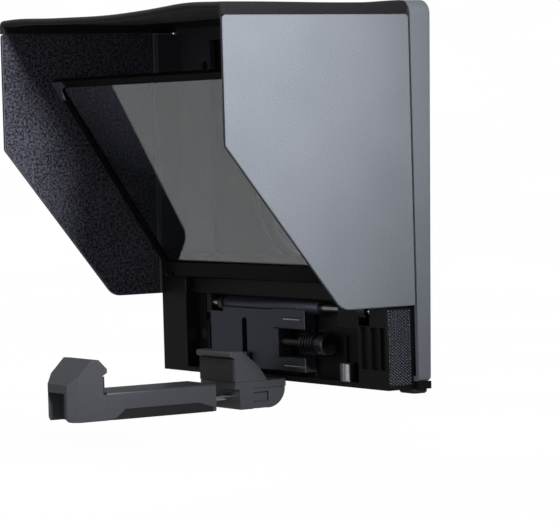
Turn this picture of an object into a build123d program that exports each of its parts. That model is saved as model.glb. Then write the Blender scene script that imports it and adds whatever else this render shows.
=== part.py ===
from build123d import *
from math import cos, radians, sin
import os

os.makedirs("parts", exist_ok=True)

# A fold-flat phone teleprompter that hangs on a camera lens.
# X is the width, -Y is the side that faces the speaker, +Z is up.
# The origin is the middle of the male lens thread, on the lens axis.

# ---- overall sizes -------------------------------------------------------
WIDTH = 216.0            # over the outer faces of the doors
HEIGHT = 184.4           # from the underside of the base to the top of the rim
HOOD_DEPTH = 104.0       # how far the doors reach ahead of the rim
FACE_Y = -18.5           # Y of the rim's front edge, where the doors start
LENS_HEIGHT = 98.0       # lens axis above the underside of the base
FLOOR_Z = -LENS_HEIGHT

# ---- rear shell and base -------------------------------------------------
SHELL_WALL = 2.4
SHELL_TOP_DEPTH = 12.5
SHELL_FOOT_DEPTH = 7.5
SHELL_CORNER = 7.0       # radius of the shell's top corners
SHELL_FOOT_CORNER = 2.0
SOLE = 3.6               # black strip under the shell
BASE_GAP = 2.3           # between the base's side and a door's inner face
BASE_DEPTH = 14.7
BASE_PLUG = 4.0          # how far the base reaches back into the shell
BEAM_DEPTH = 10.0
BEAM_TOP = 49.0
POST_TOP = 62.0
POST_WIDTH = 24.6
CAVITY_BACK = 7.0        # depth ahead of the rim where the cavity's floor lies
CAVITY_LOW = 2.5
CAVITY_HIGH = 41.0

# ---- doors ---------------------------------------------------------------
DOOR_THICK = 2.1
DOOR_BOTTOM = 40.0
DOOR_TOP_DROP = 6.9      # from the top of the rim down to the doors' top edge
TOE_SHARE = 0.409        # share of the hood's depth where the slanted edge starts
BROW_SHARE = 0.567       # share of the door's height where the slanted edge ends
DOOR_GAP = 0.8
FELT_THICK = 0.6
FELT_MARGIN = 0.5
DOOR_AXIS_IN = 3.8       # door hinge axis, inboard of the door's outer face
DOOR_AXIS_V = 2.6
DOOR_HINGE_SHARES = (0.29, 0.873)   # shares of the door's height
KNUCKLE = 8.0

# ---- glass ---------------------------------------------------------------
GLASS_SIDE = 19.0        # from a door's outer face in to the glass frame
GLASS_HEADROOM = 31.27   # from the top of the rim down to the raised glass
GLASS_LEAN = 33.3        # from upright
GLASS_AXIS_V = 17.2
GLASS_AXIS_W = 52.0
GLASS_BAR = 4.0
GLASS_FOOT_BAR = 9.0
GLASS_FRAME_THICK = 3.0
PANE_THICK = 1.1

# ---- phone holder --------------------------------------------------------
ROD_RADIUS = 2.0
ROD_V = 11.0
ROD_W = 37.0
BARREL_RADIUS = 3.5
PLATE_V = (12.0, 14.5)
PLATE_LOW = 5.0
PLATE_TOP = 32.7
SLOT_W = (8.0, 28.0)
SLOT_WIDTH = 4.6
KNOB_V = 13.4
KNOB_W = 19.5
KNOB_RADIUS = 6.0
STEM_RADIUS = 2.4
CLAMP_HALF = 14.0        # half the sliding jaw's width
BLOCK_RIGHT = 18.5       # the fixed block's right side
CLAMP_LOW = -12.2        # underside of the clamp
CLAMP_TOP = 1.5          # where the phone's back rests
REAR_GRIP_V = 46.8
FRONT_GRIP_V = 118.5
SLEEVE_V = (55.2, 116.5)
GUIDE_RADIUS = 1.6
GUIDE_X = 8.5
GUIDE_W = -6.0

# ---- lens adapter --------------------------------------------------------
THREAD_RADIUS = 38.5     # a 77 mm filter thread
ADAPTER_WALL = 2.0
FLANGE_REACH = 4.8       # the adapter's flange, beyond the thread's radius
BOSS_REACH = 11.5        # the shell's boss, beyond the thread's radius
BOSS_BACK_Y = -2.5
THREAD_END_Y = 2.0
RETAINER_THICK = 1.2

# ---- clearances ----------------------------------------------------------
SLIP = 0.05              # radial, for what turns or slides
LOOSE = 0.3


def up(w):
    """Z of a point w above the underside of the base."""
    return FLOOR_Z + w


def ahead(v):
    """Y of a point v ahead of the rim's front edge."""
    return FACE_Y - v


def front(v):
    """A sketch plane that faces the speaker, v ahead of the rim."""
    return Plane.XZ.offset(-ahead(v))


def side(x):
    """A sketch plane that faces +X; its points are (Y, Z)."""
    return Plane.YZ.offset(x)


def profile(points):
    """Turn (ahead, above) pairs into points of a side sketch."""
    return [(ahead(v), up(w)) for v, w in points]


def slab(x, v, w, mode=Mode.ADD):
    """A box between two values of width, depth ahead and height."""
    with Locations((sum(x) / 2, ahead(sum(v) / 2), up(sum(w) / 2))):
        Box(abs(x[1] - x[0]), abs(v[1] - v[0]), abs(w[1] - w[0]), mode=mode)


def bar_x(radius, x, v, w, mode=Mode.ADD):
    """A round bar along X."""
    with Locations(Location((sum(x) / 2, ahead(v), up(w)), (0, 90, 0))):
        Cylinder(radius, abs(x[1] - x[0]), mode=mode)


def bar_y(radius, x, v, w, mode=Mode.ADD):
    """A round bar from front to back."""
    with Locations(Location((x, ahead(sum(v) / 2), up(w)), (90, 0, 0))):
        Cylinder(radius, abs(v[1] - v[0]), mode=mode)


def bar_z(radius, x, v, w, mode=Mode.ADD):
    """An upright round bar."""
    with Locations((x, ahead(v), up(sum(w) / 2))):
        Cylinder(radius, abs(w[1] - w[0]), mode=mode)


def save(piece, name):
    """Label a finished piece and write it."""
    piece.label = name
    export_step(piece, f"parts/{name}.step")


half = WIDTH / 2
door_inner = half - DOOR_THICK
base_half = door_inner - BASE_GAP
post_inner = base_half - POST_WIDTH
door_axis_x = half - DOOR_AXIS_IN
door_top = HEIGHT - DOOR_TOP_DROP
door_toe = TOE_SHARE * HOOD_DEPTH
door_brow = DOOR_BOTTOM + BROW_SHARE * (door_top - DOOR_BOTTOM)
hinge_heights = [DOOR_BOTTOM + s * (door_top - DOOR_BOTTOM) for s in DOOR_HINGE_SHARES]
lean = radians(GLASS_LEAN)
glass_width = WIDTH - 2 * GLASS_SIDE
glass_length = (HEIGHT - GLASS_HEADROOM - GLASS_AXIS_W) / cos(lean)
adapter_bore = THREAD_RADIUS - ADAPTER_WALL
flange_radius = THREAD_RADIUS + FLANGE_REACH
boss_radius = THREAD_RADIUS + BOSS_REACH


CAVITY_HALF = 79.0       # half the cavity's width that the holder is laid out for


def across(x):
    """A place along the holder, which widens with the cavity."""
    return x * post_inner / CAVITY_HALF


ROD_X = (across(-60.5), across(86.0))
BARREL_X = (across(-43.0), across(44.0))
PLATE_X = (across(-55.0), across(4.5))
EAR_X = (PLATE_X[1], across(33.0))
SLOT_X = across(-23.0)


def shell_depth(w):
    """Depth of the tapered rear shell behind the rim at height w."""
    return SHELL_FOOT_DEPTH + (SHELL_TOP_DEPTH - SHELL_FOOT_DEPTH) * w / HEIGHT


# ---- rear shell ----------------------------------------------------------
# A tray, deeper at the top than at the foot, with a boss for the lens adapter.
SCREW_IN = 14.0          # the corner screws, in from the doors' outer faces
SCREW_SPOTS = [(s * (half - SCREW_IN), w) for s in (-1, 1) for w in (14.0, HEIGHT - 16.4)]
SCREW_RADIUS = 1.3
SCREW_HEAD = 2.8
SCREW_SINK = 1.3
LIP_RADIUS = THREAD_RADIUS + 3.0
LIP_V = -7.0
FLANGE_V = -9.0
BORE_RADIUS = flange_radius + 0.2
boss_back_v = -(BOSS_BACK_Y - FACE_Y)

with BuildPart() as rear_shell:
    with BuildSketch(Plane.YZ):
        with BuildLine():
            Polyline(
                *profile(
                    [
                        (0, SOLE + 0.2),
                        (0, HEIGHT),
                        (-shell_depth(HEIGHT), HEIGHT),
                        (-shell_depth(SOLE), SOLE + 0.2),
                    ]
                ),
                close=True,
            )
        make_face()
    extrude(amount=half, both=True)
    corners = rear_shell.edges().filter_by(Axis.Y).group_by(Axis.Z)[-1]
    fillet(corners, SHELL_CORNER)
    foot_corners = rear_shell.edges().filter_by(Axis.Y).group_by(Axis.Z)[0]
    fillet(foot_corners, SHELL_FOOT_CORNER)
    back = rear_shell.faces().sort_by(Axis.Y)[-1]
    fillet(back.edges(), 1.6)
    mouth = rear_shell.faces().sort_by(Axis.Y)[0]
    offset(amount=-SHELL_WALL, openings=mouth)
    bar_y(boss_radius, 0, (LIP_V, boss_back_v), LENS_HEIGHT)
    bar_y(LIP_RADIUS, 0, (0, boss_back_v), LENS_HEIGHT, Mode.SUBTRACT)
    bar_y(BORE_RADIUS, 0, (FLANGE_V, boss_back_v), LENS_HEIGHT, Mode.SUBTRACT)
    for x, w in SCREW_SPOTS:
        seat = -shell_depth(w) + SCREW_SINK
        bar_y(SCREW_RADIUS + 0.2, x, (0, -SHELL_TOP_DEPTH), w, Mode.SUBTRACT)
        bar_y(SCREW_HEAD + 0.3, x, (seat, -SHELL_TOP_DEPTH - 1), w, Mode.SUBTRACT)
    for k in range(4):
        spot = radians(45 + 90 * k)
        reach = (BORE_RADIUS + boss_radius) / 2
        bar_y(
            0.8,
            reach * cos(spot),
            (boss_back_v, boss_back_v + 4),
            LENS_HEIGHT + reach * sin(spot),
            Mode.SUBTRACT,
        )
save(rear_shell.part, "rear_shell")

# ---- base block ----------------------------------------------------------
# Black moulding: sole, cavity for the folding holder, beam and two posts.
CHEEK_RECESS = (-22.6, -2.0)                     # measured from the base's side
CHEEK_RIBS = ((-16.2, -14.2), (-7.4, -6.4))
CHEEK_RECESS_W = (9.5, 29.6)
CHEEK_RECESS_DEEP = 1.8
GRIP_SINK = 0.7
GRIP_V = (0.4, 13.9)
GRIP_W = (1.8, 38.6)
CAP_POCKET = (post_inner - 1, post_inner + 10)
HINGE_EAR_X = (glass_width / 2 + 0.7, glass_width / 2 + 4.7)
HINGE_EAR_RADIUS = 2.4
HINGE_PIN = 1.1
plug_half = half - SHELL_WALL - LOOSE - 0.5

with BuildPart() as base_block:
    slab((-base_half, base_half), (0, BASE_DEPTH), (0, CAVITY_HIGH))
    slab((-base_half, base_half), (0, BEAM_DEPTH), (CAVITY_HIGH, BEAM_TOP))
    for s in (-1, 1):
        slab((s * post_inner, s * base_half), (0, BASE_DEPTH), (0, POST_TOP))
    slab((-half + 0.6, half - 0.6), (-SHELL_FOOT_DEPTH, 0), (0, SOLE))
    slab((-plug_half, plug_half), (-BASE_PLUG, 0), (SOLE + 6, POST_TOP))
    upright = base_block.edges().filter_by(Axis.Z)
    fillet(upright.group_by(Axis.Y)[0], 0.8)
    slab(
        (-post_inner, post_inner),
        (CAVITY_BACK, BASE_DEPTH),
        (CAVITY_LOW, CAVITY_HIGH),
        Mode.SUBTRACT,
    )
    slab(CAP_POCKET, (CAVITY_BACK, BASE_DEPTH), (30.0, CAVITY_HIGH), Mode.SUBTRACT)
    for s in (-1, 1):
        inner, outer = s * (base_half - GRIP_SINK), s * base_half
        slab((inner, outer), GRIP_V, GRIP_W, Mode.SUBTRACT)
    cheek_v = (BASE_DEPTH - CHEEK_RECESS_DEEP, BASE_DEPTH)
    recess = (base_half + CHEEK_RECESS[0], base_half + CHEEK_RECESS[1])
    slab(recess, cheek_v, CHEEK_RECESS_W, Mode.SUBTRACT)
    for inner, outer in CHEEK_RIBS:
        slab((base_half + inner, base_half + outer), cheek_v, CHEEK_RECESS_W)
    # three ribs and a shallow slot give the cavity's floor its panels
    for rib, top in ((-68.4, 24.0), (30.0, 33.0), (57.8, 24.0)):
        rib_x = (across(rib), across(rib) + 2.0)
        slab(rib_x, (CAVITY_BACK, CAVITY_BACK + 1.4), (CAVITY_LOW, top))
    slot = (across(-71.5), across(-68.5))
    slab(slot, (CAVITY_BACK - 3, CAVITY_BACK), (27, CAVITY_HIGH - 1), Mode.SUBTRACT)
    for x, w in SCREW_SPOTS[::2]:
        bar_y(SCREW_RADIUS, x, (-BASE_PLUG, -0.5), w, Mode.SUBTRACT)
    # ears that carry the glass hinge pins
    for s in (-1, 1):
        ear = (s * HINGE_EAR_X[0], s * HINGE_EAR_X[1])
        ear_w = (GLASS_AXIS_W - HINGE_EAR_RADIUS, GLASS_AXIS_W + HINGE_EAR_RADIUS)
        slab(ear, (BASE_DEPTH - 1, GLASS_AXIS_V), ear_w)
        bar_x(HINGE_EAR_RADIUS, ear, GLASS_AXIS_V, GLASS_AXIS_W)
        bar_x(HINGE_PIN, ear, GLASS_AXIS_V, GLASS_AXIS_W, Mode.SUBTRACT)
save(base_block.part, "base_block")

# ---- bearing blocks for the holder's rod ---------------------------------
LEFT_BEARING = (across(-60.0), PLATE_X[0] - 0.6)
RIGHT_BEARING = (across(61.0), across(78.4))
with BuildPart() as bearing_blocks:
    slab(LEFT_BEARING, (CAVITY_BACK, 13.6), (31.5, CAVITY_HIGH))
    slab(RIGHT_BEARING, (CAVITY_BACK, 14.2), (28.0, CAVITY_HIGH))
    chamfer(bearing_blocks.faces().filter_by(Axis.Y).group_by(Axis.Y)[0].edges(), 0.6)
    bar_x(ROD_RADIUS, ROD_X, ROD_V, ROD_W, Mode.SUBTRACT)
save(bearing_blocks.part, "bearing_blocks")

with BuildPart() as pivot_rod:
    bar_x(ROD_RADIUS, ROD_X, ROD_V, ROD_W)
    chamfer(pivot_rod.edges(), 0.4)
save(pivot_rod.part, "pivot_rod")

CAP_RADIUS = 4.0
LEFT_CAP = (BARREL_X[0] - 4.6, BARREL_X[0] - 0.6)
RIGHT_CAP = (RIGHT_BEARING[1] + 0.2, post_inner + 6.2)
with BuildPart() as rod_caps:
    for start, end in (LEFT_CAP, RIGHT_CAP):
        bar_x(CAP_RADIUS, (start, end), ROD_V, ROD_W)
        bar_x(CAP_RADIUS - 1.4, (end - 0.6, end), ROD_V, ROD_W, Mode.SUBTRACT)
    bar_x(ROD_RADIUS, ROD_X, ROD_V, ROD_W, Mode.SUBTRACT)
save(rod_caps.part, "rod_caps")

POST_RADIUS = 3.8
with BuildPart() as stop_post:
    bar_z(POST_RADIUS, across(64.0), 10.9, (CAVITY_LOW, 11.2))
    chamfer(stop_post.faces().sort_by(Axis.Z)[-1].edges(), 0.5)
save(stop_post.part, "stop_post")

# A small square plate on the cavity's floor, at the end away from the knob.
CATCH_X = across(-73.0)
CATCH_W = 19.5
CATCH_SIDE = 5.0
CATCH_THICK = 0.6
with BuildPart() as catch_plate:
    slab(
        (CATCH_X - CATCH_SIDE / 2, CATCH_X + CATCH_SIDE / 2),
        (CAVITY_BACK, CAVITY_BACK + CATCH_THICK),
        (CATCH_W - CATCH_SIDE / 2, CATCH_W + CATCH_SIDE / 2),
    )
save(catch_plate.part, "catch_plate")

# ---- side grips and feet -------------------------------------------------
for s, name in ((-1, "side_grip_left"), (1, "side_grip_right")):
    with BuildPart() as side_grip:
        slab(
            (s * (base_half - GRIP_SINK), s * (base_half + 0.25)),
            (GRIP_V[0] + 0.1, GRIP_V[1] - 0.1),
            (GRIP_W[0] + 0.1, GRIP_W[1] - 0.1),
        )
    save(side_grip.part, name)

FOOT_X = (half - 16.0, half - 2.5)
FOOT_V = (-7.3, 1.5)
FOOT_DROP = 2.2
with BuildPart() as rubber_feet:
    for s in (-1, 1):
        slab((s * FOOT_X[0], s * FOOT_X[1]), FOOT_V, (-FOOT_DROP, 0))
    fillet(rubber_feet.edges().filter_by(Axis.Z), 2.5)
    chamfer(rubber_feet.faces().filter_by(Axis.Z).group_by(Axis.Z)[0].edges(), 0.8)
save(rubber_feet.part, "rubber_feet")

# ---- inner frame, baffle plate -------------------------------------------
FRAME_THICK = 3.0
FRAME_TOP_BAR = 9.0
FRAME_SIDE_BAR = 33.0
SIDE_WALL = 2.4          # the walls beside the glass, flush with the base's posts
WALL_DROP = 1.2          # from the doors' top edge down to the walls' top
HINGE_POCKET_V = 5.4     # how deep the walls are cut away round a door hinge
KNUCKLE_RADIUS = 2.2
FRAME_KNUCKLE_RADIUS = 1.55
PIN_RADIUS = 0.9
FRAME_SCREW_RADIUS = 1.0
FRAME_SCREWS = [(s * (base_half - 26.6), w) for s in (-1, 1) for w in (75.0, HEIGHT - 25.2)]
frame_half = half - SHELL_WALL - LOOSE
frame_top = HEIGHT - SHELL_WALL - LOOSE

with BuildPart() as inner_frame:
    with BuildSketch(front(-FRAME_THICK)):
        with Locations((0, up((POST_TOP + LOOSE + frame_top) / 2))):
            Rectangle(2 * frame_half, frame_top - POST_TOP - LOOSE)
        with Locations((0, up((POST_TOP - 5 + frame_top - FRAME_TOP_BAR) / 2))):
            Rectangle(
                2 * (frame_half - FRAME_SIDE_BAR),
                frame_top - FRAME_TOP_BAR - POST_TOP + 5,
                mode=Mode.SUBTRACT,
            )
    extrude(amount=FRAME_THICK)
    fillet(inner_frame.edges().filter_by(Axis.Y).group_by(Axis.Z)[-1], 4.0)
    wall_w = (POST_TOP + LOOSE, door_top - WALL_DROP)
    for s in (-1, 1):
        slab((s * (base_half - SIDE_WALL), s * base_half), (0, BASE_DEPTH), wall_w)
    rims = inner_frame.faces().filter_by(Axis.Y).group_by(Axis.Y)[0].edges()
    chamfer(rims.filter_by(Axis.Z), 0.4)
    for s in (-1, 1):
        for w in hinge_heights:
            pocket_w = (w - KNUCKLE / 2 - 6.8, w + KNUCKLE / 2 + 6.8)
            pocket_x = (s * (door_axis_x - KNUCKLE_RADIUS - 0.1), s * half)
            slab(pocket_x, (0, HINGE_POCKET_V), pocket_w, Mode.SUBTRACT)
    for s in (-1, 1):
        axis_x = s * door_axis_x
        for w in hinge_heights:
            for t in (-1, 1):
                low = w + t * (KNUCKLE / 2 + 0.3)
                high = w + t * (KNUCKLE / 2 + 6.3)
                bar_z(FRAME_KNUCKLE_RADIUS, axis_x, DOOR_AXIS_V, (low, high))
                wing = (axis_x - s * FRAME_KNUCKLE_RADIUS, axis_x + s * 0.7)
                slab(wing, (0, DOOR_AXIS_V), (low, high))
                bar_z(PIN_RADIUS, axis_x, DOOR_AXIS_V, (low, high), Mode.SUBTRACT)
    for x, w in SCREW_SPOTS[1::2]:
        bar_y(SCREW_RADIUS, x, (-FRAME_THICK, -0.5), w, Mode.SUBTRACT)
    for x, w in FRAME_SCREWS:
        bar_y(FRAME_SCREW_RADIUS, x, (-2.4, 0), w, Mode.SUBTRACT)
save(inner_frame.part, "inner_frame")

with BuildPart() as frame_screws:
    for x, w in FRAME_SCREWS:
        bar_y(FRAME_SCREW_RADIUS, x, (-2.4, 0), w)
        bar_y(2.1, x, (0, 0.9), w)
        slab((x - 1.3, x + 1.3), (0.5, 0.9), (w - 0.35, w + 0.35), Mode.SUBTRACT)
save(frame_screws.part, "frame_screws")

with BuildPart() as door_hinge_pins:
    for s in (-1, 1):
        for w in hinge_heights:
            reach = KNUCKLE / 2 + 6.3
            bar_z(PIN_RADIUS, s * door_axis_x, DOOR_AXIS_V, (w - reach, w + reach))
save(door_hinge_pins.part, "door_hinge_pins")

BAFFLE_V = (-5.0, -4.2)
BAFFLE_HOLE = THREAD_RADIUS + 2.5
with BuildPart() as baffle_plate:
    slab((-half + 5.5, half - 5.5), BAFFLE_V, (SOLE + 4.5, HEIGHT - 5.5))
    fillet(baffle_plate.edges().filter_by(Axis.Y), 4.0)
    bar_y(BAFFLE_HOLE, 0, (-6, -3), LENS_HEIGHT, Mode.SUBTRACT)
    for x, w in SCREW_SPOTS:
        bar_y(SCREW_RADIUS + 0.4, x, (-6, -3), w, Mode.SUBTRACT)
save(baffle_plate.part, "baffle_plate")

with BuildPart() as shell_screws:
    for x, w in SCREW_SPOTS:
        seat = -shell_depth(w) + SCREW_SINK
        bar_y(SCREW_RADIUS, x, (seat, -0.6), w)
        bar_y(SCREW_HEAD, x, (seat - 1.1, seat), w)
        slab((x - 1.6, x + 1.6), (seat - 1.1, seat - 0.6), (w - 0.4, w + 0.4), Mode.SUBTRACT)
        slab((x - 0.4, x + 0.4), (seat - 1.1, seat - 0.6), (w - 1.6, w + 1.6), Mode.SUBTRACT)
save(shell_screws.part, "shell_screws")

# ---- lens adapter --------------------------------------------------------
thread_end_v = -(THREAD_END_Y - FACE_Y)
with BuildPart() as adapter_ring:
    bar_y(flange_radius, 0, (FLANGE_V, boss_back_v), LENS_HEIGHT)
    bar_y(THREAD_RADIUS, 0, (boss_back_v, thread_end_v), LENS_HEIGHT)
    bar_y(adapter_bore, 0, (FLANGE_V, thread_end_v), LENS_HEIGHT, Mode.SUBTRACT)
save(adapter_ring.part, "adapter_ring")

RETAINER_RADII = (THREAD_RADIUS + 1.9, boss_radius + 2.0)
retainer_back = boss_back_v - RETAINER_THICK
with BuildPart() as retainer_ring:
    bar_y(RETAINER_RADII[1], 0, (boss_back_v, retainer_back), LENS_HEIGHT)
    bar_y(RETAINER_RADII[0], 0, (boss_back_v, retainer_back), LENS_HEIGHT, Mode.SUBTRACT)
    for k in range(4):
        spot = radians(45 + 90 * k)
        reach = (BORE_RADIUS + boss_radius) / 2
        x, w = reach * cos(spot), LENS_HEIGHT + reach * sin(spot)
        bar_y(1.0, x, (boss_back_v, retainer_back), w, Mode.SUBTRACT)
save(retainer_ring.part, "retainer_ring")

with BuildPart() as retainer_screws:
    for k in range(4):
        spot = radians(45 + 90 * k)
        reach = (BORE_RADIUS + boss_radius) / 2
        x, w = reach * cos(spot), LENS_HEIGHT + reach * sin(spot)
        bar_y(0.8, x, (boss_back_v + 3.5, retainer_back), w)
        bar_y(1.7, x, (retainer_back, retainer_back - 0.9), w)
save(retainer_screws.part, "retainer_screws")

LOCK_V = (-12.3, -15.8)
LOCK_OUTER = boss_radius + 4.0
with BuildPart() as lock_ring:
    bar_y(LOCK_OUTER, 0, LOCK_V, LENS_HEIGHT)
    with BuildSketch(front(LOCK_V[0])):
        with PolarLocations(LOCK_OUTER, 2, start_angle=20, angular_range=360):
            Rectangle(9.0, 14.0)
    extrude(amount=LOCK_V[1] - LOCK_V[0])
    fillet(lock_ring.edges().filter_by(Axis.Y), 1.2)
    bar_y(boss_radius + SLIP, 0, LOCK_V, LENS_HEIGHT, Mode.SUBTRACT)
save(lock_ring.part, "lock_ring")

# ---- doors ---------------------------------------------------------------
DOOR_TOE_ROUND = 9.0
DOOR_SMALL_ROUND = 2.0


def door_outline(margin, back):
    """The door's five-sided outline, drawn in by a margin from its edges."""
    slant = (HOOD_DEPTH - door_toe, door_brow - DOOR_BOTTOM)
    length = (slant[0] ** 2 + slant[1] ** 2) ** 0.5
    toe_shift = margin * (length - slant[0]) / slant[1]
    brow_shift = margin * (length - slant[1]) / slant[0]
    return profile(
        [
            (back, DOOR_BOTTOM + margin),
            (door_toe - toe_shift, DOOR_BOTTOM + margin),
            (HOOD_DEPTH - margin, door_brow + brow_shift),
            (HOOD_DEPTH - margin, door_top - margin),
            (back, door_top - margin),
        ]
    )


for s, name in ((-1, "left_door"), (1, "right_door")):
    with BuildPart() as door_panel:
        with BuildSketch(side(s * door_inner)):
            with BuildLine():
                Polyline(*door_outline(0, DOOR_GAP), close=True)
            make_face()
        extrude(amount=s * DOOR_THICK)
        corners = door_panel.edges().filter_by(Axis.X).sort_by(Axis.Z)
        toe = corners[:2].sort_by(Axis.Y)[0]
        fillet(toe, DOOR_TOE_ROUND)
        others = door_panel.edges().filter_by(Axis.X)
        sharp = others.filter_by(GeomType.LINE).filter_by(lambda e: e.length > DOOR_THICK - 0.1)
        fillet(sharp.sort_by(Axis.Z)[-3:], DOOR_SMALL_ROUND)
        outer = door_panel.faces().sort_by(Axis.X)[-1 if s > 0 else 0]
        chamfer(outer.edges(), 0.4)
        axis_x = s * door_axis_x
        for w in hinge_heights:
            ends = (w - KNUCKLE / 2, w + KNUCKLE / 2)
            bar_z(KNUCKLE_RADIUS, axis_x, DOOR_AXIS_V, ends)
            bar_z(PIN_RADIUS + SLIP, axis_x, DOOR_AXIS_V, ends, Mode.SUBTRACT)
    save(door_panel.part, f"{name}_panel")

    with BuildPart() as door_felt:
        with BuildSketch(side(s * door_inner)):
            with BuildLine():
                Polyline(*door_outline(FELT_MARGIN, BASE_DEPTH - 0.7), close=True)
            make_face()
        extrude(amount=-s * FELT_THICK)
    save(door_felt.part, f"{name}_felt")

# ---- roof fabric ---------------------------------------------------------
ROOF_SKIN = 1.3
ROOF_TOP = HEIGHT - 1.2
ROOF_BAND = 2.2
roof_half = half - 0.3
with BuildPart() as roof_fabric:
    with BuildSketch(front(DOOR_GAP)):
        with Locations((0, up((door_top + 0.4 + ROOF_TOP) / 2))):
            Rectangle(2 * roof_half, ROOF_TOP - door_top - 0.4)
        with Locations((0, up((door_top - 5 + ROOF_TOP - ROOF_SKIN) / 2))):
            Rectangle(
                2 * (roof_half - ROOF_BAND),
                ROOF_TOP - ROOF_SKIN - door_top + 5,
                mode=Mode.SUBTRACT,
            )
    extrude(amount=HOOD_DEPTH - DOOR_GAP)
    fillet(roof_fabric.edges().filter_by(Axis.Y).group_by(Axis.Z)[-1], 1.8)
save(roof_fabric.part, "roof_fabric")

# ---- glass ---------------------------------------------------------------
glass_plane = Plane(
    origin=(0, ahead(GLASS_AXIS_V), up(GLASS_AXIS_W)),
    x_dir=(1, 0, 0),
    z_dir=(0, -cos(lean), -sin(lean)),
)
GLASS_KNUCKLE = 2.2
GLASS_TAIL = 1.5         # how far the frame reaches below its hinge axis
GROOVE = 1.6             # how far the pane enters the frame on each side
window_low = GLASS_FOOT_BAR - GLASS_TAIL
window_high = glass_length - GLASS_BAR
window_width = glass_width - 2 * GLASS_BAR
window_mid = (window_low + window_high) / 2
window_length = window_high - window_low

knuckle_x = (glass_width / 2 - GLASS_BAR, glass_width / 2)
with BuildPart() as glass_frame:
    with BuildSketch(glass_plane.offset(-GLASS_FRAME_THICK / 2)):
        with Locations((0, (glass_length - GLASS_TAIL) / 2)):
            Rectangle(glass_width, glass_length + GLASS_TAIL)
        with Locations((0, window_mid)):
            Rectangle(window_width, window_length, mode=Mode.SUBTRACT)
    extrude(amount=GLASS_FRAME_THICK)
    with Locations(glass_plane * Location((0, window_mid, 0))):
        Box(
            window_width + 2 * GROOVE,
            window_length + 2 * GROOVE,
            PANE_THICK + 0.2,
            mode=Mode.SUBTRACT,
        )
    for s in (-1, 1):
        ends = (s * knuckle_x[0], s * knuckle_x[1])
        bar_x(GLASS_KNUCKLE, ends, GLASS_AXIS_V, GLASS_AXIS_W)
        bar_x(HINGE_PIN + SLIP, ends, GLASS_AXIS_V, GLASS_AXIS_W, Mode.SUBTRACT)
save(glass_frame.part, "glass_frame")

with BuildPart(glass_plane) as glass_pane:
    with Locations((0, window_mid, 0)):
        Box(
            window_width + 2 * GROOVE - 0.4,
            window_length + 2 * GROOVE - 0.4,
            PANE_THICK,
        )
save(glass_pane.part, "glass_pane")

CLIP = 11.0
CLIP_THICK = 0.7
with BuildPart(glass_plane) as corner_clips:
    for s in (-1, 1):
        with BuildSketch(glass_plane.offset(GLASS_FRAME_THICK / 2)):
            with Locations((s * (glass_width / 2 - CLIP / 2), glass_length - CLIP / 2)):
                Rectangle(CLIP, CLIP)
            with Locations((s * (glass_width / 2 - CLIP), glass_length - CLIP)):
                Circle(CLIP - 3.4, mode=Mode.SUBTRACT)
        extrude(amount=CLIP_THICK)
save(corner_clips.part, "corner_clips")

with BuildPart() as glass_hinge_pins:
    for s in (-1, 1):
        reach = (s * knuckle_x[0], s * (HINGE_EAR_X[1] + 0.5))
        bar_x(HINGE_PIN, reach, GLASS_AXIS_V, GLASS_AXIS_W)
save(glass_hinge_pins.part, "glass_hinge_pins")

# ---- folding bracket of the phone holder ---------------------------------
UPPER_EAR = (26.0, 36.0)
LOWER_EAR = (PLATE_LOW, 12.0)
EAR_V = (8.6, 14.9)
STEM_BOSS_X = (EAR_X[0], across(12.5))
with BuildPart() as fold_bracket:
    for ear in (UPPER_EAR, LOWER_EAR):
        slab(EAR_X, EAR_V, ear)
    chamfer(fold_bracket.faces().filter_by(Axis.Y).group_by(Axis.Y)[0].edges(), 0.3)
    slab(PLATE_X, PLATE_V, (PLATE_LOW, PLATE_TOP))
    slab((BARREL_X[0], EAR_X[0]), PLATE_V, (PLATE_TOP, ROD_W - 2.0))
    bar_x(BARREL_RADIUS, BARREL_X, ROD_V, ROD_W)
    slab(STEM_BOSS_X, (9.6, 17.0), (LOWER_EAR[1], UPPER_EAR[0]))
    slab(
        (SLOT_X - SLOT_WIDTH / 2, SLOT_X + SLOT_WIDTH / 2),
        (PLATE_V[0] - 1, PLATE_V[1] + 1),
        SLOT_W,
        Mode.SUBTRACT,
    )
    for w in SLOT_W:
        bar_y(SLOT_WIDTH / 2, SLOT_X, (PLATE_V[0] - 1, PLATE_V[1] + 1), w, Mode.SUBTRACT)
    bar_x(ROD_RADIUS + SLIP, BARREL_X, ROD_V, ROD_W, Mode.SUBTRACT)
    bar_x(STEM_RADIUS + SLIP, STEM_BOSS_X, KNOB_V, KNOB_W, Mode.SUBTRACT)
save(fold_bracket.part, "fold_bracket")

DOWEL = 0.7
with BuildPart() as ear_dowels:
    for w in (31.0, 7.6):
        bar_x(DOWEL, (across(16.0), across(31.0)), EAR_V[1] + DOWEL, w)
save(ear_dowels.part, "ear_dowels")

# ---- lock knob -----------------------------------------------------------
KNOB_X = (across(34.0), across(46.5))
COLLAR_X = (KNOB_X[1], across(53.0))
KNOB_GROOVES = 5
KNOB_PITCH = (KNOB_X[1] - KNOB_X[0]) / (KNOB_GROOVES + 0.2)
with BuildPart() as lock_knob:
    bar_x(STEM_RADIUS, (STEM_BOSS_X[0] + 1, KNOB_X[0]), KNOB_V, KNOB_W)
    bar_x(KNOB_RADIUS, KNOB_X, KNOB_V, KNOB_W)
    for k in range(KNOB_GROOVES):
        x = KNOB_X[0] + (k + 0.65) * KNOB_PITCH
        bar_x(KNOB_RADIUS + 1, (x, x + 1.0), KNOB_V, KNOB_W, Mode.SUBTRACT)
        bar_x(KNOB_RADIUS - 0.8, (x, x + 1.0), KNOB_V, KNOB_W)
save(lock_knob.part, "lock_knob")

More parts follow.
